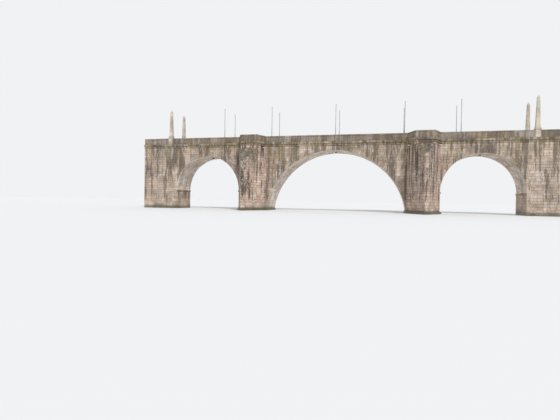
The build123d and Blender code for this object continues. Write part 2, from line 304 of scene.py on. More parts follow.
def circle(radius, sides):
    angles = [2 * pi * i / sides for i in range(sides)]
    return np.array([(radius * cos(a), radius * sin(a)) for a in angles])


# Joints along a course


def cuts(start, stop, length, shifted=False, unevenness=0.14):
    """Where the joints of one course fall, from its start to its stop, both included."""
    count = max(1, round(abs(stop - start) / length))
    marks = [i + 0.5 for i in range(count)] if shifted else range(1, count)
    places = [start + (stop - start) * (m + chance.uniform(-unevenness, unevenness)) / count for m in marks]
    return [start, *places, stop]


def pairs(marks):
    return list(zip(marks[:-1], marks[1:]))


def course_lines(low, high, unevenness=0.015):
    """Level joints from low to high, about a course apart."""
    count = round((high - low) / COURSE)
    lines = list(np.linspace(low, high, count + 1))
    for i in range(1, count):
        lines[i] += chance.uniform(-unevenness, unevenness)
    return lines


def all_courses():
    """The foot and top of each course up to the cornice, and whether its joints are shifted.
    The side arches' springing and the cutwaters' noses fall on level joints."""
    beds = pairs([*course_lines(0, IMPOST_FOOT), SIDE_SPRING])
    for low, high in pairs([SIDE_SPRING, *sorted(NOSE_HEIGHTS.values()), WALL_TOP]):
        beds += pairs(course_lines(low, high))
    return [(low, high, number % 2 == 1) for number, (low, high) in enumerate(beds)]


COURSES = all_courses()


# Stones


def in_scene(name, data):
    """A new object with its data, in the scene."""
    made = bpy.data.objects.new(name, data)
    bpy.context.scene.collection.objects.link(made)
    return made


class Masonry:
    """Gathers closed blocks with bevelled edges and makes one piece of them."""

    def __init__(self):
        self.points = []
        self.faces = []
        self.slots = []

    def block(self, rings, slot=0):
        """One closed block, from rings of as many points each."""
        count, start = len(rings[0]), len(self.points)
        self.points.extend(np.vstack(rings))
        made = [tuple(range(start, start + count))]
        for foot in range(start, start + (len(rings) - 1) * count, count):
            for i in range(count):
                j = (i + 1) % count
                made.append((foot + i, foot + j, foot + count + j, foot + count + i))
        last = start + (len(rings) - 1) * count
        made.append(tuple(range(last, last + count)))
        self.faces.extend(made)
        self.slots.extend([slot] * len(made))

    def stone(self, outline, back, front, place, whole=False, joint=JOINT, bevel=BEVEL, wear=WEAR):
        """A block from an outline, carried from back to front. The front is bevelled, and with
        whole the back too. place turns outline points and a depth into points of the frame."""
        outline = np.array(outline, float)
        if area(outline) < 0:
            outline = outline[::-1]
        if wear:
            outline += np.array([chance.uniform(-wear, wear) for _ in range(outline.size)]).reshape(-1, 2)
        outline = inset(outline, joint / 2)
        if area(outline) <= 0:
            return
        if wear:
            bevel *= chance.uniform(0.8, 1.6)
            front += chance.uniform(-0.5, 0.7) * PROUD
        step = copysign(bevel, front - back)
        worn = inset(outline, bevel)
        rings = [(outline, back), (outline, front - step), (worn, front)]
        if whole:
            rings = [(worn, back), (outline, back + step), *rings[1:]]
        self.block([place(ring, depth) for ring, depth in rings])

    def solid(self, outline, back, front, place, bevel=BEVEL):
        """A block that is bevelled all round, without wear or a joint of its own."""
        self.stone(outline, back, front, place, whole=True, joint=0, bevel=bevel, wear=0)

    def course(self, place, low, high, start, stop, shifted, under=None, over=None, out=PROUD, wear=WEAR):
        """The stones of one course between two ends, cut to a line under or over them."""
        for a, b in pairs(cuts(start, stop, ASHLAR_LENGTH, shifted)):
            outline = cell(a, b, low, high, under, over)
            if outline is not None:
                self.stone(outline, -BURIED, out, place, wear=wear)

    def core(self, outline, back, front, place):
        """The mortar behind the stones."""
        outline = np.array(outline, float)
        self.block([place(outline, back), place(outline, front)], slot=1)

    def turned(self, profile, centre, height, sides=16):
        """A turned part from radius and height pairs, on an upright axis."""
        self.block([standing(centre)(circle(radius, sides), height + z) for radius, z in profile])

    def piece(self, name, slot, materials, replaces):
        """The gathered blocks as one object that rides on the bridge."""
        mesh = bpy.data.meshes.new(name)
        mesh.from_pydata([tuple(p) for p in self.points], [], self.faces)
        mesh.polygons.foreach_set("material_index", self.slots)
        for material in materials:
            mesh.materials.append(material)
        shell = bmesh.new()
        shell.from_mesh(mesh)
        bmesh.ops.recalc_face_normals(shell, faces=shell.faces)
        shell.to_mesh(mesh)
        shell.free()
        made = in_scene(name, mesh)
        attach(made, "root")
        if replaces:
            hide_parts(*replaces)


# Ways from an outline and a depth to the frame


def points(x, y, z):
    """Rows of x, y and z, where each is one number or one for every point."""
    return np.column_stack(np.broadcast_arrays(x, y, z))


def at_pier(end, face, x, y, z):
    """Points with x from a pier's middle and y out from its face."""
    return points(end * PIER_X + x, face * (HALF_WIDTH + y), z)


def on_face(face, base=HALF_WIDTH, end=1):
    """Outline in x and z, depth out from the bridge's axis."""
    return lambda ring, depth: points(end * ring[:, 0], face * (base + depth), ring[:, 1])


def on_jamb(x, way):
    """Outline in y and z, depth along x."""
    return lambda ring, depth: points(x + way * depth, ring[:, 0], ring[:, 1])


def upright(end=1, face=1):
    """Outline in plan about the origin, depth in height."""
    return lambda ring, depth: points(end * ring[:, 0], face * ring[:, 1], depth)


def standing(centre):
    """Outline in plan about a point, depth in height."""
    return lambda ring, depth: points(centre[0] + ring[:, 0], centre[1] + ring[:, 1], depth)


def about_pier(end, face):
    """Outline in plan about the middle of a pier's face, depth in height."""
    return lambda ring, depth: at_pier(end, face, *ring.T, depth)


def half_width_at(y, out=0.0):
    """Half the cutwater's width at y out from the pier's face, set out square to its sides."""
    return PIER_HALF - CUTWATER_LEAN * y + out * SLANT


def flank_axes(side):
    """The directions along a cutwater's flank and out of it, in plan."""
    return np.array([-side * CUTWATER_LEAN, 1]) / SLANT, np.array([side, CUTWATER_LEAN]) / SLANT


def on_flank(end, face, side):
    """Outline in length along a cutwater's flank and height, depth out of the flank."""
    along, out = flank_axes(side)

    def place(ring, depth):
        plan = np.array([side * PIER_HALF, 0]) + np.outer(ring[:, 0], along) + depth * out
        return at_pier(end, face, *plan.T, ring[:, 1])

    return place


def along_leg(start, stop):
    """Outline in distance out and height, depth along a leg. Gives the leg's length too. Its
    start and stop give a plan point for each distance out, which mitres its ends."""
    length = hypot(*(np.array(stop(0)) - np.array(start(0))))

    def place(ring, depth):
        first = np.array([start(d) for d in ring[:, 0]])
        last = np.array([stop(d) for d in ring[:, 0]])
        return np.column_stack([first + (last - first) * depth / length, ring[:, 1]])

    return place, length


def edge_point(x, face):
    return lambda d: (x, face * (HALF_WIDTH + d))


def flank_point(end, face, side, y):
    """The point of a cutwater's flank at y out from the pier's face, moved out of both."""
    return lambda d: (end * PIER_X + side * half_width_at(y + d, d), face * (HALF_WIDTH + y + d))


# Lines that cut the courses


def centre_extrados(x):
    return np.sqrt(np.maximum(CENTRE_OUTER**2 - np.square(x), 0)) - CENTRE_DROP


def side_extrados(x):
    return np.sqrt(np.maximum(SIDE_OUTER**2 - np.square(np.abs(x) - SIDE_X), 0)) + SIDE_SPRING


def cone_height(end, x, y):
    """The height of a cutwater's cap, struck from the pier's face."""
    return NOSE_HEIGHTS[end] + CAP_SLOPES[end] * (CUTWATER_LENGTH - np.hypot(x, y))


def flank_top(end, s):
    """The top of a cutwater's flank: the refuge's base, and then the cone's edge."""
    y = s / SLANT
    return np.where(s <= REFUGE_FLANK, WALL_TOP, cone_height(end, half_width_at(y), y))


# Walls


def quoin(long):
    return QUOIN_LONG if long else QUOIN_SHORT


def free_spans(high, start, stop, centre, outer, height):
    """The stretches under a level joint that an arch's ring, struck at centre and height, leaves free."""
    rise = max(high - THINNEST - height, 0)
    half = sqrt(max(outer**2 - rise**2, 0))
    spans = [(start, centre - half), (centre + half, stop)] if half else [(start, stop)]
    return [(a, b) for a, b in spans if b - a > THINNEST]


def spandrel_walls(stones, face):
    """The courses of one face over the arches and on the abutments."""
    for low, high, shifted in COURSES:
        if high > centre_extrados(CENTRE_HALF_SPAN):
            middle = (-CENTRE_HALF_SPAN, CENTRE_HALF_SPAN)
            for span in free_spans(high, *middle, 0, CENTRE_OUTER, -CENTRE_DROP):
                stones.course(on_face(face), low, high, *span, shifted, centre_extrados)
        last = BRIDGE_END - quoin(not shifted)
        for end in ENDS.values():
            spans, under = [(BANK_X + quoin(shifted), last)], None
            if high > SIDE_SPRING:
                spans = free_spans(high, PIER_END, last, SIDE_X, SIDE_OUTER, SIDE_SPRING)
                under = side_extrados
            for span in spans:
                stones.course(on_face(face, end=end), low, high, *span, shifted, under)


def abutment_quoins(stones, face):
    """The corner stones of the abutments: at the arch's jamb up to its impost, and at the end."""
    outer = HALF_WIDTH + DRAWN_PROUD
    for end in ENDS.values():
        for low, high, shifted in COURSES:
            along, into = quoin(shifted), quoin(not shifted)
            height = (low + JOINT / 2, high - JOINT / 2)
            if high <= SIDE_SPRING:
                plan = rectangle(BANK_X - DRAWN_PROUD, BANK_X + along, outer - into, outer)
                stones.stone(plan, *height, upright(end, face), whole=True)
            plan = rectangle(BRIDGE_END - into, BRIDGE_END, outer - along, outer)
            stones.stone(plan, *height, upright(end, face), whole=True, wear=0)


def abutment_cores(stones):
    """The mortar behind the abutments' stones, and between the walls up to the paving's bed."""
    for end in ENDS.values():
        for start, half, low, high in (
            (BANK_X, HALF_WIDTH, 0.001, SIDE_SPRING),
            (HAUNCH_X, HALF_WIDTH, SIDE_SPRING, WALL_TOP),
            (HAUNCH_X, WALL_INNER, WALL_TOP, FILL_TOP),
        ):
            plan = rectangle(start, BRIDGE_END - CORE_INSET, -half, half)
            stones.core(plan, low, high, upright(end))


def jamb_walls(stones):
    """The faces under the side arches' springings, and the abutments' end faces."""
    for end in ENDS.values():
        end_face = on_jamb(end * BRIDGE_END, end)
        for low, high, shifted in COURSES:
            if high <= SIDE_SPRING:
                reach = HALF_WIDTH + PROUD - quoin(not shifted)
                stones.course(on_jamb(end * BANK_X, -end), low, high, -reach, reach, shifted)
                pier_jamb = on_jamb(end * PIER_END, end)
                stones.course(pier_jamb, low, high, -HALF_WIDTH, HALF_WIDTH, not shifted)
            reach = HALF_WIDTH + PROUD - quoin(shifted)
            stones.course(end_face, low, high, -reach, reach, shifted, out=0, wear=0)
        stones.course(end_face, WALL_TOP, ROADWAY_TOP - BED, -WALL_INNER, WALL_INNER, False, out=0, wear=0)


# Vaults


def vault(stones, centre, height, inner, outer, lowest):
    """A barrel of voussoirs: whole wedges at both faces and a soffit of stones between them."""
    start = asin(max(lowest - height, 0) / inner)
    count = round((pi - 2 * start) * inner / VOUSSOIR_WIDTH)
    count += 1 - count % 2
    turn = (pi - 2 * start) / count
    reach = HALF_WIDTH + PROUD

    def wedge(first, near, far):
        angles = [first, first + turn / 2, first + turn]
        outline = [(centre + near * cos(a), height + near * sin(a)) for a in angles]
        outline += [(centre + far * cos(a), height + far * sin(a)) for a in reversed(angles)]
        return [(x, max(z, lowest)) for x, z in outline]

    for i in range(count):
        first = start + i * turn
        long_face = i % 2 == 0
        inside = reach - (VOUSSOIR_DEPTH if long_face else VOUSSOIR_DEPTH * VOUSSOIR_SHORT)
        face_stone = wedge(first, inner - DRAWN_PROUD, outer)
        for face in FACES.values():
            stones.stone(face_stone, inside + JOINT / 2, reach, on_face(face, 0), whole=True, wear=WEAR / 2)
        lining = wedge(first, inner - DRAWN_PROUD, inner + BURIED)
        for a, b in pairs(cuts(-inside, inside, VOUSSOIR_DEPTH, not long_face)):
            stones.stone(lining, a + JOINT / 2, b - JOINT / 2, on_face(1, 0), whole=True, wear=WEAR / 2)


def impost_band(stones, x, way):
    """A squared band with a bevelled lower edge along one jamb."""
    reach = IMPOST_PROJECTION
    section = [(-BURIED, IMPOST_FOOT), (reach * IMPOST_LEVEL, IMPOST_FOOT)]
    section += [(reach, IMPOST_FOOT + reach * IMPOST_SLOPE), (reach, SIDE_SPRING), (-BURIED, SIDE_SPRING)]
    place = lambda ring, depth: points(x + way * ring[:, 0], depth, ring[:, 1])
    for a, b in pairs(cuts(-HALF_WIDTH, HALF_WIDTH, LEDGE_LENGTH)):
        stones.solid(section, a + JOINT / 2, b - JOINT / 2, place)


# Cutwaters and refuges


def nose_quoins(stones, end, face):
    """The stones that turn the nose of a cutwater."""
    tip = CUTWATER_LENGTH + DRAWN_PROUD
    for low, high, shifted in COURSES:
        if high <= NOSE_HEIGHTS[end]:
            ys = [tip, tip - quoin(shifted) / SLANT, tip - quoin(not shifted) / SLANT, tip]
            plan = [(side * half_width_at(y, DRAWN_PROUD), y) for side, y in zip((-1, -1, 1, 1), ys)]
            height = (low + JOINT / 2, high - JOINT / 2)
            stones.stone(plan, *height, about_pier(end, face), whole=True, wear=WEAR / 2)


def flank(stones, end, face, side):
    """One side of a cutwater, up to the cap and the refuge."""
    top = lambda s: flank_top(end, s)
    lengths = np.linspace(REFUGE_FLANK, FLANK_LENGTH, 60)
    for low, high, shifted in COURSES:
        stop, over = FLANK_LENGTH - quoin(shifted == (side < 0)), None
        if high > NOSE_HEIGHTS[end]:
            stop, over = max(lengths[top(lengths) > low + THINNEST], default=REFUGE_FLANK), top
        stones.course(on_flank(end, face, side), low, high, 0, stop, shifted, None, over)


def refuge_front(stones, end, face):
    """The flat front of a refuge's base, over the cone."""
    half = half_width_at(REFUGE_DEPTH)
    place = lambda ring, depth: at_pier(end, face, ring[:, 0], REFUGE_DEPTH + depth, ring[:, 1])
    under = lambda x: cone_height(end, x, REFUGE_DEPTH)
    upper = [(low, high) for low, high, _ in COURSES if low >= NOSE_HEIGHTS[end]]
    for number, (low, high) in enumerate(upper):
        stones.course(place, low, high, -half, half, number % 2 == 1, under)


def cap_slabs(stones, end, face):
    """The half-cone's weathering in rings of slabs, cut to the cutwater's outline."""
    lines = [(np.array([0.0, -1.0]), -REFUGE_DEPTH)]
    lines += [(flank_axes(side)[1], PIER_HALF / SLANT) for side in (-1, 1)]

    def place(ring, depth):
        heights = cone_height(end, *ring.T) + depth * hypot(1, CAP_SLOPES[end])
        return at_pier(end, face, *ring.T, heights)

    reach = hypot(half_width_at(REFUGE_DEPTH), REFUGE_DEPTH)
    radii = [REFUGE_DEPTH, *(reach + out for out in CAP_RINGS), CUTWATER_LENGTH + CAP_OVERHANG]
    for number, (near, far) in enumerate(pairs(radii)):
        spread = acos(min(1, REFUGE_DEPTH / far)) if number == 0 else asin(min(1, PIER_HALF / near))
        count = max(2, ceil(2 * spread * far / CAP_SLAB_LENGTH))
        for a, b in pairs(cuts(-spread, spread, 2 * spread / count, number % 2 == 1)):
            angles = np.linspace(a, b, 4)
            outline = [(near * sin(t), near * cos(t)) for t in angles]
            outline += [(far * sin(t), far * cos(t)) for t in angles[::-1]]
            for normal, limit in lines:
                if len(outline) > 2:
                    outline = clipped(np.array(outline), normal, limit)
            if len(outline) > 2 and abs(area(outline)) > CAP_SLAB_AREA:
                stones.stone(without_spare_points(outline), -BURIED, PROUD, place)


# Mouldings, parapets and copings


def cornice_section(grow):
    """The moulding: a bed fillet, a hollow and a square crest, x out from the wall's face."""
    shelf = WALL_TOP + BED_HEIGHT + HOLLOW_HEIGHT
    hollow = BED_PROJECTION + HOLLOW_PROJECTION
    curve = arc((hollow, WALL_TOP + BED_HEIGHT), (HOLLOW_PROJECTION, HOLLOW_HEIGHT), 180, 90, 5)
    section = [(-SPANDREL_WALL, WALL_TOP), (BED_PROJECTION, WALL_TOP), *curve]
    section += [(hollow + CREST_LIP, shelf), (hollow + CREST_LIP, CORNICE_TOP), (-SPANDREL_WALL, CORNICE_TOP)]
    return inset(np.array(section), -grow)


def parapet_section(grow):
    inner = -PARAPET_SETBACK - PARAPET_THICKNESS
    return inset(rectangle(inner, -PARAPET_SETBACK, CORNICE_TOP, PARAPET_TOP), -grow)


def coping_section(grow):
    inner = -PARAPET_SETBACK - PARAPET_THICKNESS - COPING_OVERHANG
    outer = COPING_OVERHANG - PARAPET_SETBACK
    round_off = (COPING_ROUNDING, COPING_ROUNDING)
    shoulder = COPING_TOP - COPING_ROUNDING
    section = [(inner, PARAPET_TOP), (outer, PARAPET_TOP)]
    section += arc((outer - COPING_ROUNDING, shoulder), round_off, 0, 90, 4)
    section += arc((inner + COPING_ROUNDING, shoulder), round_off, 90, 180, 4)
    return inset(np.array(section), -grow)


def leg_stones(stones, section, start, stop, length):
    """Whole stones of one section, from one mitre to the next."""
    place, end = along_leg(start, stop)
    for a, b in pairs(cuts(0, end, length)):
        stones.solid(section, a + JOINT / 2, b - JOINT / 2, place)


def run(stones, section, start, stop, length, ends=(0.0, 0.0)):
    """A moulding or wall of whole stones over a core, which stops short of the ends."""
    place, end = along_leg(start, stop)
    stones.core(section(-CORE_SUNK), ends[0], end - ends[1], place)
    leg_stones(stones, section(RUN_PROUD), start, stop, length)


def straight_limits(parted):
    """The straight runs along one face, parted at the entrance pedestals or not."""
    near, far = CENTRE_HALF_SPAN - REFUGE_STUB, PIER_END + REFUGE_STUB
    before, after = PINNACLE_X - PEDESTAL_HALF, PINNACLE_X + PEDESTAL_HALF
    right = [(far, before), (after, BRIDGE_END)] if parted else [(far, BRIDGE_END)]
    left = [(-b, -a) for a, b in reversed(right)]
    return [*left, (-near, near), *right]


def edge_runs(stones, section, face, length, parted):
    """The straight stretches of a moulding, parapet or coping along one face."""
    for a, b in straight_limits(parted):
        ends = [CORE_INSET if abs(x) == BRIDGE_END else 0.0 for x in (a, b)]
        run(stones, section, edge_point(a, face), edge_point(b, face), length, ends)


def edge_refuges(stones, section, face, length):
    """The same round the refuges, with a stub along the face at each side."""
    for end in ENDS.values():
        first, last = [edge_point(end * PIER_X + side * (PIER_HALF + REFUGE_STUB), face) for side in (-1, 1)]
        corners = ((-1, 0), (-1, REFUGE_DEPTH), (1, REFUGE_DEPTH), (1, 0))
        route = [first, *(flank_point(end, face, side, y) for side, y in corners), last]
        for start, stop in pairs(route):
            run(stones, section, start, stop, length)


# Footings, paving and entrance pinnacles


def footing_ledge(stones, end):
    """The low bevelled ledge round a pier, in stones of uneven length."""
    section = [(-BURIED, 0), (FOOTING_REACH, 0), (FOOTING_REACH, FOOTING_HEIGHT - FOOTING_BEVEL)]
    section += [(FOOTING_REACH - FOOTING_BEVEL, FOOTING_HEIGHT), (-BURIED, FOOTING_HEIGHT)]

    def root(side, face):
        shift = (SLANT - 1) / CUTWATER_LEAN
        return lambda d: (end * PIER_X + side * (PIER_HALF + d), face * (HALF_WIDTH + d * shift))

    def tip(side, face):
        return flank_point(end, face, side, CUTWATER_LENGTH)

    route = [root(1, -1), tip(1, -1), tip(-1, -1), root(-1, -1)]
    route += [root(-1, 1), tip(-1, 1), tip(1, 1), root(1, 1), route[0]]
    for start, stop in pairs(route):
        leg_stones(stones, section, start, stop, LEDGE_LENGTH)


def setts(stones):
    """Paving in rows across the roadway."""
    bed = rectangle(CORE_INSET - BRIDGE_END, BRIDGE_END - CORE_INSET, -WALL_INNER, WALL_INNER)
    stones.core(bed, FILL_TOP, ROADWAY_TOP - BED, upright())
    rows = round(2 * BRIDGE_END / SETT_WIDTH)
    for row in range(rows):
        x0, x1 = [2 * BRIDGE_END * number / rows - BRIDGE_END for number in (row, row + 1)]
        for a, b in pairs(cuts(-WALL_INNER, WALL_INNER, SETT_LENGTH, row % 2 == 1, SETT_UNEVENNESS)):
            outline = inset(rectangle(x0, x1, a, b), SETT_GAP)
            crown = ROADWAY_TOP - chance.uniform(0, SETT_SUNK)
            rings = [(outline, ROADWAY_TOP - SETT_DEPTH), (outline, crown - SETT_SHOULDER)]
            rings.append((inset(outline, BEVEL), crown))
            stones.block([upright()(ring, depth) for ring, depth in rings])


def refuge_slabs(stones, end, face):
    """Paving slabs on a refuge's floor."""
    place = about_pier(end, face)

    def tapered(left, right, y0, y1):
        near, far = half_width_at(y0, -SPANDREL_WALL), half_width_at(y1, -SPANDREL_WALL)
        return [(left * near, y0), (right * near, y0), (right * far, y1), (left * far, y1)]

    inner, outer = -SPANDREL_WALL, REFUGE_DEPTH - SPANDREL_WALL
    stones.core(tapered(-1, 1, inner, outer), WALL_TOP, ROADWAY_TOP - BED, place)
    for number, (y0, y1) in enumerate(pairs(np.linspace(inner, outer, 4))):
        joints = [0] if number % 2 else [-REFUGE_SLAB_JOINT, REFUGE_SLAB_JOINT]
        for left, right in pairs([-1, *joints, 1]):
            plan = tapered(left, right, y0, y1)
            stones.stone(plan, ROADWAY_TOP - 2 * BED, ROADWAY_TOP - PROUD, place, wear=0)


def pinnacle_courses(stones, end, face):
    """A plinth, a tapered shaft in drums and a pointed tip."""
    shaft_foot = PEDESTAL_TOP + PLINTH_HEIGHT
    shaft_top = PINNACLE_TOP - PINNACLE_TIP
    square = rectangle(-1, 1, -1, 1)
    centre = (end * PINNACLE_X, face * PEDESTAL_AXIS)

    def tapered(z0, width0, z1, width1):
        half = lambda z: (width0 + (width1 - width0) * (z - z0) / (z1 - z0)) / 2
        return lambda ring, z: standing(centre)(ring * half(z), z)

    base = tapered(PEDESTAL_TOP, PINNACLE_BASE, shaft_foot, PINNACLE_BASE)
    stones.solid(square, PEDESTAL_TOP, shaft_foot - PEDESTAL_GAP, base, DRUM_BEVEL)
    shaft = tapered(shaft_foot, PINNACLE_FOOT, shaft_top, PINNACLE_NECK)
    for low, high in pairs(np.linspace(shaft_foot, shaft_top, DRUMS + 1)):
        stones.solid(square, low, high - DRUM_GAP, shaft, DRUM_BEVEL)
    tip = tapered(shaft_top, PINNACLE_NECK, PINNACLE_TOP, PINNACLE_POINT)
    stones.block([tip(square, shaft_top), tip(square, PINNACLE_TOP)])


def pedestal_blocks(stones, end, face):
    """Two blocks and a cap, with sunk joints."""
    place = standing((end * PINNACLE_X, face * PEDESTAL_AXIS))
    plan = rectangle(-PEDESTAL_HALF, PEDESTAL_HALF, -PEDESTAL_HALF, PEDESTAL_HALF)
    cap = PEDESTAL_TOP - PEDESTAL_CAP
    for low, high in pairs([CORNICE_TOP, (CORNICE_TOP + cap) / 2, cap]):
        stones.solid(inset(plan, PEDESTAL_SET_IN), low, high - PEDESTAL_GAP, place, 0.01)
    stones.solid(plan, cap, PEDESTAL_TOP, place, 0.018)


# Poles and lamps


def pole_fittings(parts, x, face):
    """Holding-down bolts on the shoe, a collar at the step and a capped head with two hooks."""
    centre = np.array([x, face * (HALF_WIDTH - PARAPET_SETBACK - PARAPET_THICKNESS / 2)])
    foot = COPING_TOP + POLE_SHOE_HEIGHT
    for turn in np.radians([45, 135, 225, 315]):
        parts.turned(BOLT, centre + BOLT_CIRCLE * np.array([cos(turn), sin(turn)]), foot, 6)
    parts.turned(COLLAR, centre, foot)
    parts.turned(POLE_HEAD, centre, POLE_TOP)
    for side in (-1, 1):
        place = lambda ring, depth: points(x + side * depth, centre[1] + ring[:, 0], POLE_TOP + ring[:, 1])
        parts.solid(rectangle(*HOOK), *HOOK_REACH, place, 0.002)


def lamp_body(housing, lens, place, width, depth, height):
    """A cast housing with cooling fins on top and a framed lens underneath, in its own frame."""
    plan = rectangle(0, depth, -width / 2, width / 2)
    housing.solid(inset(plan, 0.004), -height * LAMP_RIM, OVERLAP - FIN_HEIGHT, place, 0.008)
    housing.solid(plan, -height * LAMP_RIM, -height * LAMP_BAND, place, 0.004)
    for a, b in pairs(np.linspace(FIN_MARGIN - width / 2, width / 2 - FIN_MARGIN, FINS + 1)):
        fin = rectangle(FIN_INSET, depth - FIN_INSET, a + FIN_INSET / 2, b - FIN_INSET / 2)
        housing.solid(fin, -FIN_HEIGHT, 0.0, place, 0.0015)
    lens.stone(inset(plan, LENS_INSET), -height * LENS_TOP, -height, place, joint=0, bevel=0.006, wear=0)


def pier_floodlight(housing, lens, end, face, side):
    """A lamp on an arm on the side of a refuge's base."""
    along, out = flank_axes(side)
    middle = np.array([side * PIER_HALF, 0]) + along * REFUGE_FLANK / 2

    def placed(reach):
        def place(ring, depth):
            plan = middle + np.outer(ring[:, 0] + reach, out) + np.outer(ring[:, 1], along)
            return at_pier(end, face, *plan.T, WALL_TOP - LAMP_DROP + depth)

        return place

    half = LAMP_ARM_SECTION / 2 - 0.008
    arm = rectangle(-OVERLAP, LAMP_ARM + 0.01, -half, half)
    housing.solid(arm, -LAMP_ARM_SECTION, -0.004, placed(0), 0.003)
    plate = rectangle(PROUD - OVERLAP, PROUD + LAMP_PLATE_THICKNESS, -LAMP_PLATE / 2, LAMP_PLATE / 2)
    housing.solid(plate, -LAMP_ARM_SECTION - 0.04, 0.03, placed(0), 0.002)
    lamp_body(housing, lens, placed(LAMP_ARM), LAMP_WIDTH, LAMP_DEPTH, LAMP_HEIGHT)


def crown_lamp(housing, lens, x, crown):
    """A lamp on a stem under the crown of a vault."""
    half = LAMP_ARM_SECTION / 2
    place = lambda ring, depth: standing((x, 0))(ring, crown + depth)
    stem = rectangle(-half, half, -half, half)
    housing.solid(stem, -CROWN_LAMP_STEM - 0.01, OVERLAP, place, 0.004)
    hung = lambda ring, depth: place(ring - (LAMP_WIDTH / 2, 0), depth - CROWN_LAMP_STEM)
    lamp_body(housing, lens, hung, LAMP_WIDTH, LAMP_WIDTH, LAMP_DEPTH)


# Materials


def tint(red, green, blue):
    """A colour given in the usual 0 to 255 steps, as Blender's linear values."""
    steps = [v / 255 for v in (red, green, blue)]
    return (*[v / 12.92 if v <= 0.04045 else ((v + 0.055) / 1.055) ** 2.4 for v in steps], 1.0)


class Nodes:
    """The node tree of a material or the world, with short calls for the nodes used here."""

    def __init__(self, owner):
        self.owner = owner
        owner.use_nodes = True
        self.tree = owner.node_tree
        self.tree.nodes.clear()

    def add(self, kind, inputs, out=0, **settings):
        node = self.tree.nodes.new("ShaderNode" + kind)
        for name, value in settings.items():
            setattr(node, name, value)
        for name, value in inputs.items():
            if isinstance(value, bpy.types.NodeSocket):
                self.tree.links.new(value, node.inputs[name])
            else:
                node.inputs[name].default_value = value
        return node.outputs[out]

    def position(self):
        return self.add("TexCoord", {}, out="Object")

    def split(self, vector):
        return list(self.add("SeparateXYZ", {0: vector}).node.outputs)

    def scaled(self, vector, scale, shift=(0, 0, 0)):
        return self.add("Mapping", {"Vector": vector, "Scale": scale, "Location": shift})

    def noise(self, vector, scale, detail=4.0, roughness=0.55):
        inputs = {"Vector": vector, "Scale": scale, "Detail": detail, "Roughness": roughness}
        return self.add("TexNoise", inputs)

    def math(self, operation, a, b=0.0):
        return self.add("Math", {0: a, 1: b}, operation=operation)

    def times(self, a, b):
        return self.math("MULTIPLY", a, b)

    def total(self, first, *others):
        for value in others:
            first = self.math("ADD", first, value)
        return first

    def ramp(self, value, low, high, to_low=0.0, to_high=1.0):
        inputs = {"Value": value, "From Min": low, "From Max": high, "To Min": to_low, "To Max": to_high}
        return self.add("MapRange", inputs, interpolation_type="SMOOTHSTEP")

    def mix(self, factor, a, b, blend="MIX"):
        return self.add("Mix", {0: factor, 6: a, 7: b}, out=2, data_type="RGBA", blend_type=blend)

    def bump(self, height, distance, strength=1.0):
        return self.add("Bump", {"Height": height, "Distance": distance, "Strength": strength})

    def output(self, kind, surface):
        node = self.tree.nodes.new("ShaderNodeOutput" + kind)
        self.tree.links.new(surface, node.inputs["Surface"])
        return self.owner

    def finish(self, **inputs):
        sockets = {name.replace("_", " "): value for name, value in inputs.items()}
        return self.output("Material", self.add("BsdfPrincipled", sockets))


def new_material(name):
    return Nodes(bpy.data.materials.new(name))


# Pairs of tones: each kind of stone's light and dark one, and those of its stains
WALL = tint(212, 198, 183), tint(180, 165, 150)
# The cutwater's pair is the granite's own tone, made lighter and pinker by painted floodlight on the flanks.
CUTWATER_AND_PAINTED_LIGHT = tint(224, 204, 190), tint(195, 173, 159)
MOULDED = tint(182, 170, 148), tint(148, 137, 114)
PARAPET = tint(172, 162, 148), tint(142, 131, 117)
FOOTING = tint(156, 148, 128), tint(122, 116, 96)
PINNACLE = tint(232, 227, 214), tint(212, 205, 190)
# The soffit's pair is painted light: it makes the vaults' undersides paler than the walls' stone.
SOFFIT_PAINTED_LIGHT = tint(246, 239, 230), tint(224, 214, 204)
CASTS = tint(240, 226, 211), tint(252, 252, 255)
THREADS = tint(90, 76, 69), tint(60, 52, 48)
MOSS = tint(104, 102, 72), tint(72, 72, 54)
WET = tint(60, 62, 45), tint(98, 94, 68)
DARK_LICHEN, PALE_LICHEN = tint(68, 61, 54), tint(210, 206, 192)
STAIN = tint(120, 104, 94)
WASHED = tint(226, 218, 209)
RUST = tint(166, 150, 100)

# How stains lie on walls and on cutwaters: how much more of them there is high up, how
# unevenly they crowd, how fine the threads are, and the scales of the lichen's spots
ON_WALL = {"rising": 0.045, "uneven": 0.055, "threads": 3.5, "dark_spots": 10.0, "pale_spots": 13.0}
ON_NOSE = {"rising": 0.02, "uneven": 0.018, "threads": 6.0, "dark_spots": 7.5, "pale_spots": 9.0}


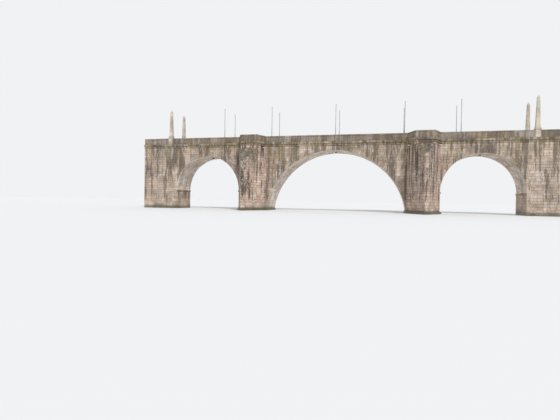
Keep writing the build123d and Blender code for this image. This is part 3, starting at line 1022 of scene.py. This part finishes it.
class Stone(Nodes):
    """Weathered granite, built up in layers over self.colour."""

    def __init__(self, name, vault, on_nose):
        super().__init__(bpy.data.materials.new(name))
        self.vault = vault
        self.on_nose = on_nose
        self.habit = ON_NOSE if on_nose else ON_WALL
        self.place = self.position()
        self.x, self.y, self.z = self.split(self.place)
        self.facing = self.split(self.add("TexCoord", {}, out="Normal"))
        # 1 on faces that do not look out of the bridge's faces, as a soffit does. In the vaults it sets the
        # soffit's painted light and the streaks' run.
        self.under = self.ramp(self.math("ABSOLUTE", self.facing[1]), 0.5, 0.8, 1.0, 0.0)
        self.island = self.add("NewGeometry", {}, out="Random Per Island")
        self.own = self.math("FRACT", self.times(self.island, 7.31))
        self.patches = self.noise(self.place, 0.8, 4.0, 0.6)
        self.mottle = self.noise(self.place, 7.0, 5.0, 0.65)
        self.grain = self.noise(self.place, 60.0, 6.0, 0.75)

    def granite(self, light, dark):
        """Broad patches, a tone and a cast for each stone, mottling and crystals."""
        # On a vault, the soffit's faces take the paler soffit tones, which are painted light.
        if self.vault:
            light, dark = [self.mix(self.under, *tones) for tones in zip((light, dark), SOFFIT_PAINTED_LIGHT)]
        colour = self.mix(self.ramp(self.patches, 0.36, 0.64), light, dark)
        colour = self.mix(1.0, colour, self.mix(self.island, *CASTS), "MULTIPLY")
        tone = self.ramp(self.own, 0.0, 1.0, 0.84, 1.08)
        tone = self.times(tone, self.ramp(self.mottle, 0.28, 0.72, 0.84, 1.14))
        tone = self.times(tone, self.ramp(self.grain, 0.30, 0.70, 0.80, 1.16))
        self.texture = self.add("CombineXYZ", {0: tone, 1: tone, 2: tone})
        self.colour = self.mix(1.0, colour, self.texture, "MULTIPLY")

    def water_paths(self):
        """Coordinates drawn out the way that water runs: down a wall, or round a vault's soffit.
        Also how much more of it there is towards the top of a wall."""
        wander = self.add("TexNoise", {"Vector": self.place, "Scale": 1.7, "Detail": 2.0}, out="Color")
        sway = {0: wander, 1: (0.13, 0.13, 0.0), 2: self.place}
        flow = self.scaled(self.add("VectorMath", sway, operation="MULTIPLY_ADD"), (1.0, 1.0, 0.09))
        ends = self.total(self.z, self.times(self.mottle, 1.1))
        rising = self.ramp(self.z, 1.2, 5.8, -0.01, self.habit["rising"])
        reach = self.total(self.ramp(ends, 1.0, 2.0, -0.11, 0.0), rising)
        if not self.vault:
            return flow, reach
        along, up = [self.math("SUBTRACT", *pair) for pair in zip((self.x, self.z), self.vault)]
        turn = self.times(self.math("ARCTAN2", along, up), 0.5)
        round_flow = self.add("CombineXYZ", {0: turn, 1: self.y, 2: 0.0})
        flow = self.add("Mix", {0: self.under, 4: flow, 5: round_flow}, out=1, data_type="VECTOR")
        return flow, self.times(reach, self.math("SUBTRACT", 1.0, self.under))

    def run_off(self, streaks, washed, ochre):
        """Broad soft stains, dark threads, pale washed marks and iron, along the water's paths."""
        flow, reach = self.water_paths()
        if self.vault:
            streaks = self.ramp(self.under, 0.0, 1.0, streaks, streaks * 0.5)
        ragged = self.ramp(self.mottle, 0.25, 0.75, -0.03, 0.03)
        uneven = self.habit["uneven"]
        crowd = self.noise(self.scaled(self.place, (1.3, 1.3, 0.3)), 1.0, 3.0)
        crowd = self.ramp(crowd, 0.4, 0.6, -1.15 * uneven, uneven * 0.85)
        shift = self.total(ragged, reach, crowd, self.ramp(self.own, 0.0, 1.0, -0.012, 0.012))
        broad = self.total(self.noise(flow, 1.8, 4.0, 0.6), shift)
        self.over(self.ramp(broad, 0.50, 0.62, 0.0, self.times(streaks, 0.5)), STAIN)
        threads = self.total(self.noise(flow, 4.0, self.habit["threads"], 0.62), shift)
        self.over(self.ramp(threads, 0.508, 0.574, 0.0, streaks), self.mix(self.mottle, *THREADS))
        marks = self.noise(self.scaled(flow, (1, 1, 1), (7, 3, 5)), 6.0, 5.0, 0.68)
        self.over(self.ramp(marks, 0.56, 0.65, 0.0, washed), WASHED)
        iron = self.ramp(self.noise(flow, 3.1, 4.0), 0.50, 0.64, 0.0, ochre)
        self.over(self.times(self.ramp(self.z, 3.6, 5.8), iron), RUST)

    def growths(self, lichen, moss):
        """Lichen in crowds of spots, thickest on a cutwater's nose, and moss where rain lies."""
        crowd = self.ramp(self.noise(self.place, 1.1, 3.0), 0.4, 0.65, -0.04, 0.045)
        if self.on_nose:
            out = self.ramp(self.math("ABSOLUTE", self.y), 2.3, 4.3, 0.0, 0.06)
            crowd = self.total(crowd, self.times(out, self.ramp(self.z, 1.5, 3.0)))
        self.pits = self.total(self.noise(self.place, self.habit["dark_spots"], 8.0, 0.72), crowd)
        self.over(self.ramp(self.pits, 0.565, 0.61, 0.0, lichen), DARK_LICHEN)
        elsewhere = self.scaled(self.place, (1, 1, 1), (4, 9, 2))
        pale = self.total(self.noise(elsewhere, self.habit["pale_spots"], 7.0, 0.7), crowd)
        self.over(self.ramp(pale, 0.60, 0.645, 0.0, lichen * 0.8), PALE_LICHEN)
        lying = self.ramp(self.facing[2], 0.25, 0.7)
        growth = self.times(lying, self.ramp(self.mottle, 0.34, 0.60, 0.0, moss))
        self.over(growth, self.mix(self.ramp(self.patches, 0.4, 0.6), *MOSS))

    def damp_foot(self):
        """A damp band over the waterline. Gives how wet the stone is."""
        tide = self.math("SUBTRACT", self.z, self.times(self.patches, 0.5))
        wet = self.ramp(tide, -0.12, 0.22, 1.0, 0.0)
        self.over(self.times(wet, 0.8), self.mix(self.mottle, *WET))
        return wet

    def relief(self):
        """Grain and mottling, with pits under the lichen."""
        raised = self.total(self.times(self.grain, 0.3), self.mottle)
        sunk = self.times(self.ramp(self.pits, 0.565, 0.61), 0.12)
        return self.bump(self.math("SUBTRACT", raised, sunk), 0.012, 0.8)

    def over(self, amount, tone):
        """A stain that lets the stone's own texture through."""
        self.colour = self.mix(amount, self.colour, self.mix(1.0, tone, self.texture, "MULTIPLY"))


def stone_material(name, tones, streaks, washed=0.45, ochre=0.2, lichen=0.5, moss=0.5,
                   on_nose=False, vault=None):
    """Granite in its two plain tones, with how much of each stain lies on it.
    vault gives the centre and height that a soffit's streaks run round, and turns on the soffit's paler
    tones, which are painted light."""
    n = Stone(name, vault, on_nose)
    n.granite(*tones)
    n.run_off(streaks, washed, ochre)
    n.growths(lichen, moss)
    wet = n.damp_foot()
    return n.finish(Base_Color=n.colour, Roughness=n.ramp(wet, 0.0, 1.0, 0.9, 0.55), Normal=n.relief())


def mortar_material():
    n = new_material("mortar")
    place = n.position()
    patches = n.noise(place, 1.4, 5.0)
    grain = n.noise(place, 70.0, 4.0)
    colour = n.mix(n.ramp(patches, 0.35, 0.65), tint(128, 116, 100), tint(88, 80, 68))
    colour = n.mix(n.ramp(grain, 0.35, 0.7, 0.0, 0.5), colour, tint(66, 60, 50))
    return n.finish(Base_Color=colour, Roughness=0.95, Normal=n.bump(grain, 0.004))


def paving_material():
    n = new_material("paving_setts")
    place = n.position()
    island = n.add("NewGeometry", {}, out="Random Per Island")
    grain = n.noise(place, 60.0, 6.0, 0.7)
    wear = n.noise(n.scaled(place, (0.25, 1.6, 1)), 1.5, 4.0)
    colour = n.mix(island, tint(150, 143, 132), tint(112, 106, 99))
    colour = n.mix(n.ramp(grain, 0.4, 0.7, 0.0, 0.6), colour, tint(82, 78, 72))
    colour = n.mix(n.ramp(wear, 0.45, 0.7, 0.0, 0.5), colour, tint(168, 162, 150))
    roughness = n.ramp(wear, 0.3, 0.7, 0.85, 0.6)
    return n.finish(Base_Color=colour, Roughness=roughness, Normal=n.bump(grain, 0.004))


def steel_material():
    """Grey paint with chalking and rust run down from the fittings."""
    n = new_material("pole_paint")
    place = n.position()
    chalk = n.noise(n.scaled(place, (9, 9, 1.2)), 3.0, 5.0)
    fine = n.noise(place, 90.0, 4.0)
    colour = n.mix(n.ramp(chalk, 0.35, 0.65), tint(168, 170, 166), tint(138, 141, 138))
    rust = n.ramp(n.noise(n.scaled(place, (14, 14, 2.0)), 4.0, 6.0, 0.7), 0.60, 0.68, 0.0, 0.7)
    colour = n.mix(rust, colour, tint(112, 70, 44))
    roughness = n.ramp(rust, 0, 1, 0.42, 0.85)
    return n.finish(Base_Color=colour, Roughness=roughness, Normal=n.bump(fine, 0.0008))


def housing_material():
    n = new_material("lamp_housing_paint")
    place = n.position()
    dust = n.noise(place, 22.0, 5.0)
    fine = n.noise(place, 160.0, 3.0)
    colour = n.mix(n.ramp(dust, 0.45, 0.75, 0.0, 0.6), tint(58, 60, 60), tint(112, 104, 92))
    roughness = n.ramp(dust, 0.3, 0.7, 0.4, 0.7)
    return n.finish(Base_Color=colour, Roughness=roughness, Normal=n.bump(fine, 0.0005))


def lens_material():
    """Lit glass: a warm white that is brightest in the middle of the ribs."""
    n = new_material("lamp_lens_glass")
    ribs = n.noise(n.scaled(n.position(), (60, 60, 4)), 2.0, 2.0)
    glow = n.mix(n.ramp(ribs, 0.4, 0.6), tint(255, 244, 214), tint(255, 252, 240))
    base = tint(236, 232, 220)
    return n.finish(Base_Color=base, Roughness=0.15, Emission_Color=glow, Emission_Strength=0.9)


# Putting it together

ashlar = stone_material("weathered_ashlar", WALL, 0.65, ochre=0.4)
nose_look = {"washed": 0.6, "lichen": 0.85, "moss": 0.9, "on_nose": True}
# The cutwater stone's lighter, pinker tones are partly painted floodlight.
flank_stone = stone_material("cutwater_ashlar", CUTWATER_AND_PAINTED_LIGHT, 0.9, **nose_look)
moulded = stone_material("moulded_stone", MOULDED, 0.6, ochre=0.4, lichen=0.6)
parapet_stone = stone_material("parapet_stone", PARAPET, 0.4, washed=0.3, ochre=0.1, lichen=0.6, moss=0.35)
footing_stone = stone_material("footing_stone", FOOTING, 0.3, ochre=0.0, lichen=0.6, moss=0.9)
pinnacle_stone = stone_material("pinnacle_stone", PINNACLE, 0.15, ochre=0.05, lichen=0.25, moss=0.0)
mortar = mortar_material()
paving = paving_material()
steel = steel_material()
housing_paint = housing_material()
glass = lens_material()

# Each vault's middle, height of centre, inner and outer radius, and lowest point
VAULTS = {
    "centre": (0.0, -CENTRE_DROP, CENTRE_RADIUS, CENTRE_OUTER, 0.0),
    "left": (-SIDE_X, SIDE_SPRING, SIDE_RADIUS, SIDE_OUTER, SIDE_SPRING),
    "right": (SIDE_X, SIDE_SPRING, SIDE_RADIUS, SIDE_OUTER, SIDE_SPRING),
}

# What runs along the edges: its section, its stones' length, their slot and material, and
# whether the entrance pedestals part it
EDGES = {
    "cornice": (cornice_section, CORNICE_LENGTH, "moulded_stone", moulded, False),
    "parapet": (parapet_section, PARAPET_LENGTH, "parapet_stone", parapet_stone, True),
    "coping": (coping_section, COPING_LENGTH, "parapet_stone", parapet_stone, True),
}


def dress(name, slot, look, replaces, *layers):
    """Makes one piece. Each layer is a function that lays stones, with what it is called with."""
    stones = Masonry()
    for lay, *where in layers:
        lay(stones, *where)
    stones.piece(name, slot, look, replaces)


def dress_vaults():
    stains = {"washed": 0.6, "ochre": 0.3, "lichen": 0.3}
    for name, sizes in VAULTS.items():
        # Each vault's soffit is painted paler: painted light.
        soffit = stone_material(f"{name}_vault_stone", WALL, 0.7, vault=sizes[:2], **stains)
        dress(f"{name}_vault_stones", "vault_stone", [soffit], [], (vault, *sizes))


def dress_walls():
    for name, face in FACES.items():
        dress(f"{name}_wall_stones", "ashlar", [ashlar], [], (spandrel_walls, face))
        dress(f"{name}_abutment_quoins", "ashlar", [ashlar], [], (abutment_quoins, face))
    replaced = ["left_abutment", "right_abutment"]
    dress("jamb_stones", "ashlar", [ashlar, mortar], replaced, (jamb_walls,), (abutment_cores,))


def dress_pier(name, end):
    bands = (impost_band, end * PIER_END, end), (impost_band, end * BANK_X, -end)
    dress(f"{name}_impost_stones", "moulded_stone", [moulded], [f"{name}_arch_imposts"], *bands)
    look = "footing_stone", [footing_stone]
    dress(f"{name}_footing_stones", *look, [f"{name}_pier_footing"], (footing_ledge, end))
    for side, face in FACES.items():
        at = end, face
        layers = (nose_quoins, *at), (flank, *at, -1), (flank, *at, 1), (refuge_front, *at), (cap_slabs, *at)
        dress(f"{side}_{name}_cutwater_stones", "cutwater_stone", [flank_stone], [], *layers)


def dress_edges():
    for side, face in FACES.items():
        for name, (section, length, slot, stone, parted) in EDGES.items():
            look = slot, [stone, mortar]
            runs = edge_runs, section, face, length, parted
            dress(f"{side}_{name}_stones", *look, [f"{side}_{name}_runs"], runs)
            refuges = edge_refuges, section, face, length * REFUGE_SHARE
            dress(f"{side}_refuge_{name}_stones", *look, [f"{side}_refuge_{name}s"], refuges)


def dress_deck():
    dress("roadway_setts", "paving", [paving, mortar], ["roadway"], (setts,))
    corners = [(end, face) for end in ENDS.values() for face in FACES.values()]
    for name, slot, look, lay, node in (
        ("refuge_slabs", "paving", [paving, mortar], refuge_slabs, "refuge_floors"),
        ("pedestal_blocks", "parapet_stone", [pinnacle_stone], pedestal_blocks, "pinnacle_pedestals"),
        ("pinnacle_drums", "parapet_stone", [pinnacle_stone], pinnacle_courses, "entrance_pinnacles"),
    ):
        dress(name, slot, look, [node], *((lay, *corner) for corner in corners))


def fit_poles_and_lamps():
    fittings, housings, lenses = Masonry(), Masonry(), Masonry()
    spacing = CENTRE_HALF_SPAN - POLE_INNER_SETBACK
    pole_xs = [-POLE_OUTER_X, POLE_OUTER_X, *(POLE_CENTRE_X + step * spacing for step in (-1, 0, 1))]
    for face in FACES.values():
        for x in pole_xs:
            pole_fittings(fittings, x, face)
        for end in ENDS.values():
            pier_floodlight(housings, lenses, end, face, -1)
            pier_floodlight(housings, lenses, end, face, 1)
    for x, height, inner, _, _ in VAULTS.values():
        crown_lamp(housings, lenses, x, height + inner - PROUD)
    fittings.piece("pole_fittings", "painted_steel", [steel], [])
    housings.piece("lamp_housings", "lamp_housing", [housing_paint], ["pier_floodlights", "crown_lamps"])
    lenses.piece("lamp_lenses", "lamp_housing", [glass], [])


dress_vaults()
dress_walls()
for name, end in ENDS.items():
    dress_pier(name, end)
dress_edges()
dress_deck()
fit_poles_and_lamps()
for name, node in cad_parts.items():
    node.data.materials.clear()
    node.data.materials.append(steel if "poles" in name else mortar)


# Camera, floor and light


def aimed(yaw, pitch, roll=0.0):
    """The turn of a camera or a lamp that looks along +Y when all three are 0, in degrees."""
    yaw, pitch, roll = radians(yaw), radians(90 + pitch), radians(roll)
    return Matrix.Rotation(yaw, 4, "Z") @ Matrix.Rotation(pitch, 4, "X") @ Matrix.Rotation(roll, 4, "Z")


def add_camera():
    data = bpy.data.cameras.new("camera")
    data.lens = CAMERA_LENS
    data.sensor_width = SENSOR_WIDTH
    data.clip_end = CAMERA_REACH
    camera = in_scene("camera", data)
    camera.matrix_world = Matrix.Translation(CAMERA_PLACE) @ aimed(CAMERA_YAW, CAMERA_PITCH, CAMERA_ROLL)
    bpy.context.scene.camera = camera


def add_floor():
    mesh = bpy.data.meshes.new("floor")
    rim = [(x, y, 0.0) for x, y in circle(FLOOR_RADIUS, FLOOR_SIDES)]
    mesh.from_pydata(rim, [], [tuple(range(FLOOR_SIDES))])
    look = {"Base_Color": tint(244, 244, 243), "Roughness": 0.9, "Specular_IOR_Level": 0.0}
    mesh.materials.append(new_material("pale_floor").finish(**look))
    in_scene("floor", mesh)


def add_world():
    """Soft light from all round, and a pale backdrop for the camera, glossy paint and glass."""
    world = bpy.data.worlds.new("studio")
    bpy.context.scene.world = world
    n = Nodes(world)
    rays = n.add("LightPath", {}).node.outputs
    seen = n.math("MAXIMUM", rays["Is Camera Ray"], rays["Is Glossy Ray"])
    seen = n.math("MAXIMUM", seen, rays["Is Transmission Ray"])
    lit = n.add("Background", {"Color": tint(244, 247, 252), "Strength": 0.55})
    shown = n.add("Background", {"Color": tint(240, 242, 243), "Strength": 1.0})
    n.output("World", n.add("MixShader", {0: seen, 1: lit, 2: shown}))


def sun(name, strength, turn, height, softness):
    """A soft lamp that shines from a compass turn about Z, measured from -Y, at a height in degrees."""
    data = bpy.data.lights.new(name, "SUN")
    data.energy = strength
    data.angle = radians(softness)
    in_scene(name, data).matrix_world = aimed(turn, -height)


add_camera()
add_floor()
add_world()
sun("key_light", 1.95, 34, 38, 8)
sun("fill_light", 0.12, -55, 25, 40)
sun("back_light", 0.5, 205, 30, 60)

bpy.context.scene.view_settings.view_transform = "Standard"
